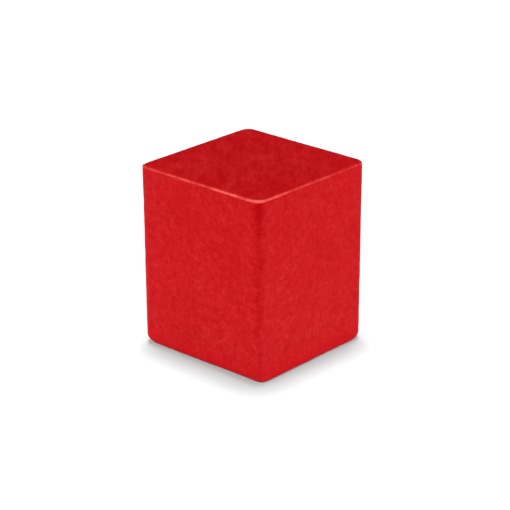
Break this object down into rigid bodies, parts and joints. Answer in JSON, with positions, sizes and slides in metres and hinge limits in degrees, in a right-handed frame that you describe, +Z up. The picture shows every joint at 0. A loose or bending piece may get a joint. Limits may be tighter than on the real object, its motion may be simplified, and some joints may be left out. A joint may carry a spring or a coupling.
{
  "type": "wooden game block",
  "caption": "Upright square-section wooden game block with tumbled round edges and an even coat of satin red paint.",
  "frame": {"origin": "middle of the flat face that the block stands on", "axes": "+Z up along the grain, the block's longest side; X and Y square to its upright sides"},
  "size_m": [0.01, 0.01, 0.012],
  "materials": {
    "wood": "bare beech, sawn and tumbled",
    "paint": "satin red paint film"
  },
  "bodies": {
    "root": {"wood_blank": "wood", "paint_coat": "paint"}
  },
  "joints": []
}
